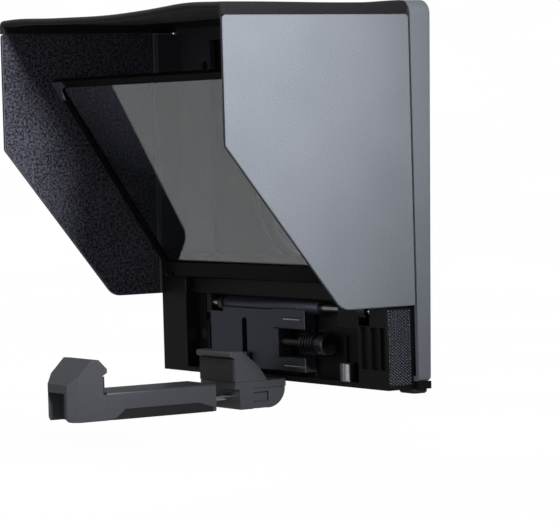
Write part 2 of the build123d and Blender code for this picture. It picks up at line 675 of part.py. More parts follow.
with BuildPart() as knob_collar:
    bar_x(KNOB_RADIUS - 0.4, COLLAR_X, KNOB_V, KNOB_W)
    chamfer(knob_collar.faces().sort_by(Axis.X)[-1].edges(), 0.8)
save(knob_collar.part, "knob_collar")

# ---- clamp carriage ------------------------------------------------------
UPRIGHT_X = (across(-29.0), across(-17.0))
UPRIGHT_V = (15.3, 17.3)
SLOT_SCREW_W = 8.3
BLOCK_V = (36.0, 44.1)
with BuildPart() as carriage:
    slab(UPRIGHT_X, UPRIGHT_V, (-5.0, 13.0))
    slab((UPRIGHT_X[0], CLAMP_HALF), UPRIGHT_V, (-5.0, CLAMP_TOP))
    slab((-CLAMP_HALF, BLOCK_RIGHT), (UPRIGHT_V[1], REAR_GRIP_V), (-2.0, CLAMP_TOP))
    slab((-CLAMP_HALF, BLOCK_RIGHT), BLOCK_V, (CLAMP_LOW, CLAMP_TOP))
    chamfer(carriage.faces().filter_by(Axis.Z).group_by(Axis.Z)[0].edges(), 0.5)
    bar_y(ROD_RADIUS, SLOT_X, UPRIGHT_V, SLOT_SCREW_W, Mode.SUBTRACT)
    for x in (-GUIDE_X, GUIDE_X):
        bar_y(GUIDE_RADIUS, x, (BLOCK_V[0] + 1, BLOCK_V[1]), GUIDE_W, Mode.SUBTRACT)
save(carriage.part, "clamp_carriage")

COVER_RECESS = 2.0       # a finger recess in the cover's right side
COVER_RECESS_V = (27.5, BLOCK_V[0])
COVER_RECESS_W = (-8.8, -4.0)
with BuildPart() as rear_cover:
    with BuildSketch(side(-CLAMP_HALF)):
        with BuildLine():
            Polyline(*profile([(BLOCK_V[0], CLAMP_LOW + 0.2), (29.0, CLAMP_LOW + 0.2)]))
            toe = profile([(29.0, CLAMP_LOW + 0.2), (21.0, -9.6), (UPRIGHT_V[1] + 0.4, -2.6)])
            ThreePointArc(*toe)
            Polyline(
                toe[2],
                *profile(
                    [
                        (UPRIGHT_V[1] + 0.4, -2.1),
                        (BLOCK_V[0], -2.1),
                        (BLOCK_V[0], CLAMP_LOW + 0.2),
                    ]
                ),
            )
        make_face()
    extrude(amount=CLAMP_HALF + BLOCK_RIGHT)
    slab((BLOCK_RIGHT - COVER_RECESS, BLOCK_RIGHT), COVER_RECESS_V, COVER_RECESS_W, Mode.SUBTRACT)
save(rear_cover.part, "rear_cover")

JAW_TOP = 16.8
REAR_JAW_X = (-13.0, 19.0)
with BuildPart() as rear_jaw:
    with BuildSketch(side(REAR_JAW_X[0])):
        with BuildLine():
            Polyline(
                *profile(
                    [
                        (28.0, CLAMP_TOP),
                        (33.5, 9.4),
                        (43.0, JAW_TOP),
                        (49.6, JAW_TOP),
                        (49.6, 14.2),
                        (REAR_GRIP_V, 13.0),
                        (REAR_GRIP_V, CLAMP_TOP),
                    ]
                ),
                close=True,
            )
        make_face()
    extrude(amount=REAR_JAW_X[1] - REAR_JAW_X[0])
    fillet(rear_jaw.edges().filter_by(Axis.X).group_by(Axis.Z)[-1], 1.0)
save(rear_jaw.part, "rear_jaw")

PAD_THICK = 1.2
with BuildPart() as rear_pad:
    slab(
        (REAR_JAW_X[0] + 0.5, REAR_JAW_X[1] - 0.5),
        (REAR_GRIP_V, REAR_GRIP_V + PAD_THICK),
        (CLAMP_TOP + 0.3, 12.8),
    )
save(rear_pad.part, "rear_pad")

with BuildPart() as slot_screw:
    bar_y(ROD_RADIUS, SLOT_X, (9.8, UPRIGHT_V[1]), SLOT_SCREW_W)
    bar_y(3.6, SLOT_X, (UPRIGHT_V[1], UPRIGHT_V[1] + 1.8), SLOT_SCREW_W)
    slab(
        (SLOT_X - 2.6, SLOT_X + 2.6),
        (UPRIGHT_V[1] + 1.0, UPRIGHT_V[1] + 1.8),
        (SLOT_SCREW_W - 0.5, SLOT_SCREW_W + 0.5),
        Mode.SUBTRACT,
    )
save(slot_screw.part, "slot_screw")

with BuildPart() as slot_nut:
    slab(
        (SLOT_X - 4.2, SLOT_X + 4.2),
        (9.6, PLATE_V[0] - 0.2),
        (SLOT_SCREW_W - 4.2, SLOT_SCREW_W + 4.2),
    )
    bar_y(ROD_RADIUS, SLOT_X, (9, PLATE_V[0]), SLOT_SCREW_W, Mode.SUBTRACT)
save(slot_nut.part, "slot_nut")

GUIDE_V = (BLOCK_V[0] + 1, 104.0)
with BuildPart() as guide_rods:
    for x in (-GUIDE_X, GUIDE_X):
        bar_y(GUIDE_RADIUS, x, GUIDE_V, GUIDE_W)
    chamfer(guide_rods.edges().group_by(Axis.Y)[0], 0.3)
save(guide_rods.part, "guide_rods")

# ---- sliding front jaw ---------------------------------------------------
SPRING_CHANNEL = 4.2
INLAY_DEEP = 0.8
inlay_points = [
    (SLEEVE_V[1] - 3.6, CLAMP_LOW),
    (106.5, -7.2),
    (65.0, -7.2),
    (SLEEVE_V[0] + 1.6, -10.0),
    (SLEEVE_V[0] + 1.6, CLAMP_LOW),
]
with BuildPart() as jaw_sleeve:
    slab((-CLAMP_HALF, CLAMP_HALF), SLEEVE_V, (CLAMP_LOW, CLAMP_TOP - 0.3))
    fillet(jaw_sleeve.edges().filter_by(Axis.Y), 1.0)
    for x in (-GUIDE_X, GUIDE_X):
        bar_y(GUIDE_RADIUS + SLIP, x, (SLEEVE_V[0], SLEEVE_V[1] - 1), GUIDE_W, Mode.SUBTRACT)
    bar_y(SPRING_CHANNEL, 0, (SLEEVE_V[0], SLEEVE_V[1] - 2), GUIDE_W, Mode.SUBTRACT)
    for s in (-1, 1):
        with BuildSketch(side(s * CLAMP_HALF)):
            with BuildLine():
                Polyline(*profile(inlay_points), close=True)
            make_face()
        extrude(amount=-s * INLAY_DEEP, mode=Mode.SUBTRACT)
save(jaw_sleeve.part, "jaw_sleeve")

with BuildPart() as sleeve_inlays:
    for s in (-1, 1):
        with BuildSketch(side(s * (CLAMP_HALF - 0.3))):
            with BuildLine():
                Polyline(*profile(inlay_points), close=True)
            make_face()
        extrude(amount=-s * (INLAY_DEEP - 0.3))
save(sleeve_inlays.part, "sleeve_inlays")

COIL_RADIUS = 2.9
COIL_WIRE = 0.5
COIL_PITCH = 2.5
COIL_V = (72.0, 112.0)
with BuildPart() as jaw_spring:
    with BuildLine():
        coil = Helix(
            COIL_PITCH,
            COIL_V[1] - COIL_V[0],
            COIL_RADIUS,
            center=(0, ahead(COIL_V[0]), up(GUIDE_W)),
            direction=(0, -1, 0),
        )
    with BuildSketch(Plane(origin=coil @ 0, z_dir=coil % 0)):
        Circle(COIL_WIRE)
    sweep(path=coil, is_frenet=True)
save(jaw_spring.part, "jaw_spring")

JAW_NOSE = 136.0
JAW_BEVEL = 4.6
POCKET_X = (-9.5, 7.0)
POCKET_V = 128.0
with BuildPart() as front_jaw:
    with BuildSketch(side(-CLAMP_HALF)):
        with BuildLine():
            Polyline(
                *profile(
                    [
                        (SLEEVE_V[1], CLAMP_LOW),
                        (JAW_NOSE - 1.8, CLAMP_LOW),
                        (JAW_NOSE, CLAMP_LOW + 1.8),
                        (JAW_NOSE, 5.7),
                        (124.2, 17.5),
                        (120.6, 17.2),
                        (FRONT_GRIP_V - 2.4, 12.6),
                        (FRONT_GRIP_V - 2.4, 10.8),
                        (FRONT_GRIP_V, 9.4),
                        (FRONT_GRIP_V, 0.6),
                        (SLEEVE_V[1], 0.0),
                    ]
                ),
                close=True,
            )
        make_face()
    extrude(amount=2 * CLAMP_HALF)
    nose = front_jaw.edges().filter_by(Axis.Z).group_by(Axis.Y)[0]
    chamfer(nose, JAW_BEVEL)
    slab(POCKET_X, (POCKET_V, JAW_NOSE + 1), (CLAMP_LOW - 1, 1.6), Mode.SUBTRACT)
save(front_jaw.part, "front_jaw")

with BuildPart() as front_pad:
    slab(
        (-CLAMP_HALF + 0.8, CLAMP_HALF - 0.8),
        (FRONT_GRIP_V - PAD_THICK, FRONT_GRIP_V),
        (CLAMP_TOP, 9.0),
    )
save(front_pad.part, "front_pad")

with BuildPart() as jaw_screw:
    bar_y(1.7, -1.0, (POCKET_V, POCKET_V + 1.2), -2.5)
save(jaw_screw.part, "jaw_screw")
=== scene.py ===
# %% [markdown]
# # A phone teleprompter
# The object is a fold-flat teleprompter: a hood with two felt-lined doors and a cloth roof, a leaning
# sheet of beam-splitter glass, and a sprung clamp that holds a phone, screen up, under the glass.
# Its hard parts come from CAD as a fixed frame. Here they get their finishes, and the soft and finely
# textured parts are built as numpy surfaces around them.

# %% Load the frame
import math
import bmesh
import bpy
import numpy as np
from mathutils import Matrix, Vector


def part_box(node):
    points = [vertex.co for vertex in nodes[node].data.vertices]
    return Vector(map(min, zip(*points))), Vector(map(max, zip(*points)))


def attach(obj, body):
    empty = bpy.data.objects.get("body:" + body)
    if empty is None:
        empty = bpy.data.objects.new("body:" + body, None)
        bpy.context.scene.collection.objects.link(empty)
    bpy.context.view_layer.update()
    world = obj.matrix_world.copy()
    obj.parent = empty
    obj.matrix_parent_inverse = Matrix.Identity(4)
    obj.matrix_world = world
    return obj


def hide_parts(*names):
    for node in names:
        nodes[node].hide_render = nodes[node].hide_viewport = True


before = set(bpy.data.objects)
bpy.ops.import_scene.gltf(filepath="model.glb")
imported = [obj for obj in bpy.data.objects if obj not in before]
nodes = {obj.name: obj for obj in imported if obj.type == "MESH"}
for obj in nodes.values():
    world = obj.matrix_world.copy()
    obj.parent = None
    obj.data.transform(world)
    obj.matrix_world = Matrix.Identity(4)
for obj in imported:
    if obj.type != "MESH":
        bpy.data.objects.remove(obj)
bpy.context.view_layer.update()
MM = 0.001

# %% [markdown]
# ## Where things are
# Every position comes from the frame. The rim's front edge and the underside of the base are the two
# planes that a maker would measure from, so a place is given as a width, a depth ahead of the rim and
# a height above the underside.

# %% The measuring planes
FACE_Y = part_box("rear_shell")[0].y / MM
FLOOR_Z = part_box("base_block")[0].z / MM


def place(x, ahead, above):
    """Row-frame points in metres from width, depth ahead of the rim and height above the base, in mm."""
    x, ahead, above = np.broadcast_arrays(x, ahead, above)
    return np.stack([x, FACE_Y - ahead, FLOOR_Z + above], axis=-1).astype(float) * MM


print("rim front edge at Y", round(FACE_Y, 2), "mm, underside at Z", round(FLOOR_Z, 2), "mm")

# %% [markdown]
# ## Camera
# A long lens about a metre and a half away keeps the hood's edges nearly parallel. The camera stands
# at the speaker's right hand, 57 degrees round from the front and a little above the hood's middle,
# and is rolled by a degree and a half.

# %% Camera
AZIMUTH, ELEVATION, ROLL = (math.radians(v) for v in (57.1, 2.5, -1.6))
EYE_RIGHT, EYE_DOWN, EYE_BACK = 28.9, 34.2, 1488.2
back = Vector((math.sin(AZIMUTH), -math.cos(AZIMUTH), 0)) * math.cos(ELEVATION)
back.z = math.sin(ELEVATION)
level_right = Vector((math.cos(AZIMUTH), math.sin(AZIMUTH), 0))
level_up = back.cross(level_right)
right = level_right * math.cos(ROLL) + level_up * math.sin(ROLL)
up = level_up * math.cos(ROLL) - level_right * math.sin(ROLL)
aim = Vector(place(0, 40, 95))
eye = aim + (right * EYE_RIGHT - up * EYE_DOWN + back * EYE_BACK) * MM
camera_data = bpy.data.cameras.new("camera")
camera_data.sensor_width = 36
camera_data.lens = 193.2
camera_data.clip_end = 100
camera = bpy.data.objects.new("camera", camera_data)
bpy.context.scene.collection.objects.link(camera)
turn = Matrix((right, up, back)).transposed().to_4x4()
camera.matrix_world = Matrix.Translation(eye) @ turn
bpy.context.scene.camera = camera
print("camera lens", round(camera_data.lens, 1), "mm")

# %% [markdown]
# ## Studio
# Product pictures of black goods are taken in a white room, because black plastic only shows its form
# by what it mirrors. A round bowl of a floor, flat under the object and curving up far away, gives the
# same pale ground from every side. The key is a spot lamp on the near door's side: its cone is little
# wider than the door, so the door fades from its upper front corner to its lower rear one, and the faces
# that look at the speaker stay dark. Three weak soft lights lift the far felt, the roof and the front,
# and the sky of the scene fills the rest.

# %% Floor and lights


def linear(code):
    """An sRGB hex colour as linear RGBA."""
    c = np.array([int(code[i : i + 2], 16) for i in (1, 3, 5)]) / 255
    c = np.where(c <= 0.04045, c / 12.92, ((c + 0.055) / 1.055) ** 2.4)
    return (*[float(v) for v in c], 1.0)


def add(tree, kind, inputs=None, **settings):
    """Add one node. inputs maps a socket's name or number to a value or to another node's output."""
    node = tree.nodes.new("ShaderNode" + kind)
    for key, value in settings.items():
        setattr(node, key, value)
    for key, value in (inputs or {}).items():
        if isinstance(value, bpy.types.NodeSocket):
            tree.links.new(value, node.inputs[key])
        else:
            node.inputs[key].default_value = value
    return node


def grid_mesh(name, points, loop_u=False, loop_v=False, turn_over=False):
    """A mesh from an array of points (rows, columns, 3) in metres; a loop joins its last row or column to
    its first. Its UV map holds the row and column numbers as shares from 0 to 1."""
    rows, cols = points.shape[:2]
    u = np.arange(rows if loop_u else rows - 1)
    v = np.arange(cols if loop_v else cols - 1)
    a, b = np.meshgrid(u, v, indexing="ij")
    a2, b2 = (a + 1) % rows, (b + 1) % cols
    quads = np.stack([a * cols + b, a2 * cols + b, a2 * cols + b2, a * cols + b2], axis=-1).reshape(-1, 4)
    if turn_over:
        quads = quads[:, ::-1]
    mesh = bpy.data.meshes.new(name)
    mesh.from_pydata(points.reshape(-1, 3).tolist(), [], quads.tolist())
    mesh.update()
    shares = np.stack([(quads // cols) / rows, (quads % cols) / cols], axis=-1)
    mesh.uv_layers.new(name="UVMap").data.foreach_set("uv", shares.ravel().astype(np.float32))
    mesh.polygons.foreach_set("use_smooth", np.ones(len(quads), bool))
    made = bpy.data.objects.new(name, mesh)
    bpy.context.scene.collection.objects.link(made)
    return made


def new_material(name):
    """An empty node material: its tree, its Principled shader and its output."""
    material = bpy.data.materials.new(name)
    material.use_nodes = True
    tree = material.node_tree
    tree.nodes.clear()
    shader = add(tree, "BsdfPrincipled")
    output = add(tree, "OutputMaterial", {"Surface": shader.outputs[0]})
    return material, tree, shader, output


FLAT_RADIUS, BOWL_RADIUS, BOWL_RISE, DROP = 2.6, 4.2, 1.6, 0.16
flat_radius = np.linspace(0.001, FLAT_RADIUS, 12)
radius = np.concatenate([flat_radius, FLAT_RADIUS + np.linspace(0.1, BOWL_RADIUS, 24)])
rise = BOWL_RISE * (np.clip(radius - FLAT_RADIUS, 0, None) / BOWL_RADIUS) ** 2.4
angle = np.linspace(0, 2 * np.pi, 96, endpoint=False)
bowl = np.stack(
    [
        radius[:, None] * np.cos(angle),
        radius[:, None] * np.sin(angle),
        np.broadcast_to((rise - DROP + FLOOR_Z * MM)[:, None], (len(radius), len(angle))),
    ],
    axis=-1,
)
floor = grid_mesh("studio_floor", bowl, loop_v=True)
paper, tree, shader, output = new_material("seamless_paper")
cloud = add(tree, "TexNoise", {"Vector": add(tree, "TexCoord").outputs["Object"], "Scale": 3.0})
tint = add(
    tree, "Mix", {"Factor": cloud.outputs[0], 6: linear("#F4F4F5"), 7: linear("#F8F8F8")}, data_type="RGBA"
)
tree.links.new(tint.outputs[2], shader.inputs["Base Color"])
shader.inputs["Roughness"].default_value = 0.9
# The eye sees bright paper, as behind a cut-out, while the goods get less light back from it.
rays = add(tree, "LightPath")
seen = add(
    tree,
    "Math",
    {0: rays.outputs["Is Camera Ray"], 1: rays.outputs["Is Transmission Ray"]},
    operation="MAXIMUM",
)
bright = add(tree, "Emission", {"Color": tint.outputs[2], "Strength": 1.08})
mirrored = add(tree, "Emission", {"Color": tint.outputs[2], "Strength": 0.3})
unseen = add(
    tree, "MixShader", {0: rays.outputs["Is Glossy Ray"], 1: shader.outputs[0], 2: mirrored.outputs[0]}
)
either = add(tree, "MixShader", {0: seen.outputs[0], 1: unseen.outputs[0], 2: bright.outputs[0]})
tree.links.new(either.outputs[0], output.inputs["Surface"])
floor.data.materials.append(paper)


def aim_light(data, spot, target):
    """Stand a lamp at spot, facing target, both in metres."""
    lamp = bpy.data.objects.new(data.name, data)
    bpy.context.scene.collection.objects.link(lamp)
    spot, target = Vector(spot), Vector(target)
    facing = (spot - target).to_track_quat("Z", "Y").to_matrix().to_4x4()
    lamp.matrix_world = Matrix.Translation(spot) @ facing


def soft_light(name, spot, target, size, power):
    """A rectangular area light that faces target."""
    data = bpy.data.lights.new(name, "AREA")
    data.shape = "RECTANGLE"
    data.size, data.size_y = size
    data.energy = power
    aim_light(data, spot, target)


key_data = bpy.data.lights.new("key_light", "SPOT")
key_data.energy, key_data.shadow_soft_size = 175, 0.1
key_data.spot_size, key_data.spot_blend = math.radians(21), 1.0
aim_light(key_data, (1.25, -0.28, 0.45), (0.108, -0.16, 0.085))
soft_light("felt_light", (0.9, -0.8, -0.02), (-0.106, -0.07, -0.01), (0.9, 0.5), 1.7)
soft_light("top_light", (0.2, -0.5, 1.9), (0, -0.05, 0), (1.0, 1.0), 6)
soft_light("frontal_light", (-0.3, -2.0, 0.5), (0, -0.05, 0), (0.8, 0.8), 8)
world = bpy.data.worlds.new("studio_air")
world.use_nodes = True
tree = world.node_tree
tree.nodes.clear()
rays = add(tree, "LightPath")
seen = add(
    tree,
    "Math",
    {0: rays.outputs["Is Camera Ray"], 1: rays.outputs["Is Transmission Ray"]},
    operation="MAXIMUM",
)
dim = add(tree, "Background", {"Color": linear("#F6F8FB"), "Strength": 0.36})
bright = add(tree, "Background", {"Color": linear("#FDFDFE"), "Strength": 1.0})
either = add(tree, "MixShader", {0: seen.outputs[0], 1: dim.outputs[0], 2: bright.outputs[0]})
add(tree, "OutputWorld", {"Surface": either.outputs[0]})
bpy.context.scene.world = world
bpy.context.scene.view_settings.view_transform = "Standard"
print("floor and 4 lights")

# %% [markdown]
# ## Moulded plastics
# The rear shell and the doors are ABS moulded against a spark-eroded steel mould, so the surface is a
# fine random grain that scatters the light and gives a silky grey. The base, the frame and the clamp are
# the same kind of plastic in black and in charcoal. One function builds the family: a cloudy colour
# change of a few centimetres, a grain in colour, and the same grain as bump.

# %% Moulded plastics


def moulded(name, low, high, grain_mm, roughness, bump_mm, cloud_mm=60.0, specular=0.5):
    """ABS with a spark-eroded grain: colour runs from low to high with the grain and drifts over cloud_mm."""
    material, tree, shader, output = new_material(name)
    spot = add(tree, "TexCoord").outputs["Object"]
    grain = add(
        tree, "TexNoise", {"Vector": spot, "Scale": 1 / (grain_mm * MM), "Detail": 3.0, "Roughness": 0.6}
    )
    drift = add(tree, "TexNoise", {"Vector": spot, "Scale": 1 / (cloud_mm * MM), "Detail": 2.0})
    both = add(tree, "Mix", {"Factor": 0.35, 2: grain.outputs[0], 3: drift.outputs[0]}, data_type="FLOAT")
    spread = add(tree, "MapRange", {"Value": both.outputs[0], "From Min": 0.3, "From Max": 0.7})
    colour = add(
        tree, "Mix", {"Factor": spread.outputs[0], 6: linear(low), 7: linear(high)}, data_type="RGBA"
    )
    gloss = add(tree, "MapRange", {"Value": drift.outputs[0], "From Min": 0.3, "From Max": 0.7})
    gloss.inputs["To Min"].default_value = roughness - 0.04
    gloss.inputs["To Max"].default_value = roughness + 0.04
    bump = add(tree, "Bump", {"Height": grain.outputs[0], "Strength": 1.0, "Distance": bump_mm * MM})
    tree.links.new(colour.outputs[2], shader.inputs["Base Color"])
    tree.links.new(gloss.outputs[0], shader.inputs["Roughness"])
    tree.links.new(bump.outputs[0], shader.inputs["Normal"])
    shader.inputs["IOR"].default_value = 1.5
    shader.inputs["Specular IOR Level"].default_value = specular
    return material


# Grain on such mouldings is 0.1 to 0.2 mm across; 0.8 mm is the finest that shows at this size.
door_abs = moulded("grey_spark_eroded_abs", "#54585E", "#686C73", 0.8, 0.46, 0.03)
shell_abs = moulded("dark_grey_spark_eroded_abs", "#555960", "#5E6268", 0.8, 0.50, 0.018)
black_abs = moulded("black_satin_abs", "#0C0C0D", "#131214", 0.9, 0.42, 0.012, specular=0.14)
frame_abs = moulded("black_glass_filled_nylon", "#060607", "#09090A", 0.7, 0.48, 0.010, specular=0.05)
panel_abs = moulded("black_satin_panel_abs", "#28282C", "#303034", 0.9, 0.46, 0.012, specular=0.2)
charcoal_abs = moulded("charcoal_spark_eroded_abs", "#2D2E32", "#37383D", 0.8, 0.40, 0.014, specular=0.45)
inlay_abs = moulded("black_matt_inlay_abs", "#101012", "#151517", 0.8, 0.55, 0.012, specular=0.2)
print("7 moulded plastics")

# %% [markdown]
# ## Metals and rubber
# The bracket's plate is aluminium, blasted and dyed blue-black, so it shines softly. Knob, caps and
# adapter rings are turned aluminium dyed black, with fine rings left by the lathe tool. Pins, rods and
# screws are plain steel. Feet and grip pads are moulded rubber with a dry, dull face.

# %% Metals and rubber


def metal(name, low, high, roughness, scratch_mm, stretch, bump_mm):
    """Metal with tool marks: noise stretched along one axis drives colour, gloss and bump."""
    material, tree, shader, output = new_material(name)
    spot = add(tree, "TexCoord").outputs["Object"]
    drawn = add(tree, "Mapping", {"Vector": spot, "Scale": stretch})
    marks = add(tree, "TexNoise", {"Vector": drawn.outputs[0], "Scale": 1 / (scratch_mm * MM), "Detail": 4.0})
    spread = add(tree, "MapRange", {"Value": marks.outputs[0], "From Min": 0.3, "From Max": 0.7})
    colour = add(
        tree, "Mix", {"Factor": spread.outputs[0], 6: linear(low), 7: linear(high)}, data_type="RGBA"
    )
    gloss = add(
        tree, "MapRange", {"Value": marks.outputs[0], "To Min": roughness - 0.06, "To Max": roughness + 0.06}
    )
    bump = add(tree, "Bump", {"Height": marks.outputs[0], "Strength": 1.0, "Distance": bump_mm * MM})
    tree.links.new(colour.outputs[2], shader.inputs["Base Color"])
    tree.links.new(gloss.outputs[0], shader.inputs["Roughness"])
    tree.links.new(bump.outputs[0], shader.inputs["Normal"])
    shader.inputs["Metallic"].default_value = 1.0
    return material


plate_metal = metal("blasted_dyed_aluminium", "#484B54", "#565A63", 0.45, 0.7, (1, 1, 1), 0.010)
turned_metal = metal("turned_black_aluminium", "#3A3A3F", "#4A4A50", 0.34, 0.5, (1.0, 0.2, 0.2), 0.008)
steel = metal("bright_turned_steel", "#A8A9AD", "#C4C5C8", 0.22, 0.4, (1.0, 0.2, 0.2), 0.004)
post_metal = metal("satin_turned_aluminium", "#85868B", "#9C9DA3", 0.30, 0.4, (0.2, 0.2, 1.0), 0.004)
rubber = moulded("moulded_black_rubber", "#1A1A1B", "#232324", 0.9, 0.7, 0.02, specular=0.3)
print("4 metals and a rubber")

# %% [markdown]
# ## Glass
# A teleprompter's glass is a beam splitter: the lens looks through it and the speaker sees the phone
# mirrored in it. A thin clear sheet with a faint coat does both. It is a Principled shader with full
# transmission, smooth, with the index of crown glass, and the coat shows as a slight cool cast. Light
# that only passes through to light what lies behind goes straight, since so thin a sheet bends nothing.

# %% Beam-splitter glass
glass, tree, shader, output = new_material("coated_beam_splitter_glass")
spot = add(tree, "TexCoord").outputs["Object"]
haze = add(tree, "TexNoise", {"Vector": spot, "Scale": 1 / (25 * MM), "Detail": 2.0})
cast = add(
    tree, "Mix", {"Factor": haze.outputs[0], 6: linear("#DDE3E6"), 7: linear("#E3E8E8")}, data_type="RGBA"
)
tree.links.new(cast.outputs[2], shader.inputs["Base Color"])
shader.inputs["Roughness"].default_value = 0.0
shader.inputs["IOR"].default_value = 1.52
shader.inputs["Transmission Weight"].default_value = 1.0
shader.inputs["Specular IOR Level"].default_value = 0.25
passing = add(tree, "LightPath").outputs["Is Shadow Ray"]
clear = add(tree, "BsdfTransparent", {"Color": linear("#E4EAEC")})
either = add(tree, "MixShader", {0: passing, 1: shader.outputs[0], 2: clear.outputs[0]})
tree.links.new(either.outputs[0], output.inputs["Surface"])
print("glass")

# %% [markdown]
# ## Finishes on the frame
# A CAD part whose shape is right only needs its finish. Each node's material slot is given one.

# %% Dress the CAD nodes
finishes = {
    door_abs: ["left_door_panel", "right_door_panel"],
    shell_abs: ["rear_shell"],
    black_abs: ["base_block", "bearing_blocks", "baffle_plate"],
    panel_abs: ["inner_frame"],
    frame_abs: ["glass_frame"],
    charcoal_abs: ["clamp_carriage", "rear_cover", "rear_jaw", "jaw_sleeve", "front_jaw"],
    inlay_abs: ["sleeve_inlays"],
    plate_metal: ["fold_bracket"],
    turned_metal: [
        "lock_knob", "knob_collar", "rod_caps", "adapter_ring", "retainer_ring", "lock_ring", "frame_screws",
    ],
    steel: [
        "pivot_rod", "door_hinge_pins", "glass_hinge_pins", "guide_rods", "jaw_spring", "ear_dowels",
        "shell_screws", "retainer_screws", "slot_screw", "slot_nut", "jaw_screw", "catch_plate",
    ],
    post_metal: ["stop_post", "corner_clips"],
    rubber: ["rubber_feet", "rear_pad", "front_pad"],
    glass: ["glass_pane"],
}
for finish, names in finishes.items():
    for name in names:
        nodes[name].data.materials.clear()
        nodes[name].data.materials.append(finish)
# The doors' edge faces, those not facing sideways, get the black panel plastic as painted shade; the outer
# face and its chamfer stay grey.
for hand in ("left", "right"):
    door = nodes[hand + "_door_panel"].data
    door.materials.append(panel_abs)
    sideways = np.empty(3 * len(door.polygons), np.float32)
    door.polygons.foreach_get("normal", sideways)
    door.polygons.foreach_set("material_index", (np.abs(sideways[0::3]) < 0.5).astype(np.int32))
print(sum(len(names) for names in finishes.values()), "CAD nodes dressed")

# %% [markdown]
# ## Moulded edges
# No mould has a knife edge: every corner is rounded by two or three tenths of a millimetre, and on black
# plastic that thin round is the only line that shines. The ten parts listed below get it from three
# modifiers:
# weld the corners, join the triangles of each flat face, and round the edges where two faces meet sharply.

# %% Edge rounding
EDGE_ROUND = {
    "base_block": 0.35, "inner_frame": 0.3, "glass_frame": 0.3, "bearing_blocks": 0.25, "fold_bracket": 0.25,
    "clamp_carriage": 0.25, "rear_cover": 0.3, "rear_jaw": 0.3, "jaw_sleeve": 0.25, "front_jaw": 0.35,
}
for name, width in EDGE_ROUND.items():
    weld = nodes[name].modifiers.new("weld", "WELD")
    weld.merge_threshold = 0.001 * MM
    join = nodes[name].modifiers.new("join_flat_faces", "DECIMATE")
    join.decimate_type, join.angle_limit = "DISSOLVE", math.radians(0.5)
    edge = nodes[name].modifiers.new("edge_round", "BEVEL")
    edge.width, edge.segments, edge.limit_method = width * MM, 2, "ANGLE"
    edge.angle_limit, edge.harden_normals = math.radians(40), True
print(len(EDGE_ROUND), "parts with rounded edges")

# %% [markdown]
# ## Felt linings
# Each door is lined with needled felt, so that no light bounces inside the hood. The felt is a flat cut
# with a soft edge where the fibres have been pressed down by the die. A row at each height runs from the
# rear edge to the front edge, and the front edge follows the door's slant and its rounded toe.

# %% Felt


def closed_pair(name, face, under):
    """One closed mesh from two grids of points whose outermost rings are the same points."""
    rows, cols = face.shape[:2]
    a, b = np.meshgrid(np.arange(rows - 1), np.arange(cols - 1), indexing="ij")
    corner = a * cols + b
    quads = np.stack([corner, corner + cols, corner + cols + 1, corner + 1], -1).reshape(-1, 4)
    points = np.concatenate([face.reshape(-1, 3), under.reshape(-1, 3)])
    mesh = bpy.data.meshes.new(name)
    mesh.from_pydata(points.tolist(), [], np.concatenate([quads, quads[:, ::-1] + rows * cols]).tolist())
    work = bmesh.new()
    work.from_mesh(mesh)
    bmesh.ops.remove_doubles(work, verts=work.verts, dist=1e-6)
    bmesh.ops.recalc_face_normals(work, faces=work.faces)
    work.to_mesh(mesh)
    work.free()
    mesh.polygons.foreach_set("use_smooth", np.ones(len(mesh.polygons), bool))
    made = bpy.data.objects.new(name, mesh)
    bpy.context.scene.collection.objects.link(made)
    return made


def eased(count, length, edge):
    """Places from 0 to length, the outermost few crowded into the edge width; the end places come twice."""
    inner = np.linspace(edge, length - edge, count)
    rim = edge * (1 - np.cos(np.linspace(0, np.pi / 2, 5)[:-1]))
    return np.concatenate([[0.0], rim, inner, length - rim[::-1], [length]])


def edge_height(distance, edge):
    """A quarter round: height share 0 at the edge, 1 from one edge width inwards."""
    gone = 1 - np.clip(distance / edge, 0, 1)
    return np.sqrt(np.clip(1 - gone**2, 0, 1))


DOOR_BOTTOM, TOE, BROW, DOOR_TOP, HOOD = 40.0, 42.5, 118.0, 177.5, 104.0
FELT_REAR, FELT_BORDER, FELT_EDGE, FELT_THICK, TOE_ROUND = 14.6, 0.15, 0.5, 0.55, 8.7
slant = np.array([HOOD - TOE, BROW - DOOR_BOTTOM])
slant_along = slant / np.linalg.norm(slant)


def front_edge(above):
    """How far ahead the door reaches at a height: the slant, cut by the front edge, the toe rounded."""
    line = TOE + (above - DOOR_BOTTOM) * slant[0] / slant[1]
    half = math.tan(math.acos(slant_along[0]) / 2) * TOE_ROUND
    drop = np.clip(TOE_ROUND - (above - DOOR_BOTTOM), 0, None)
    arc = TOE - half + np.sqrt(np.clip(TOE_ROUND**2 - drop**2, 0, None))
    low_end = above - DOOR_BOTTOM < half * slant_along[1]
    return np.minimum(np.where(low_end, arc, line), HOOD) - FELT_BORDER


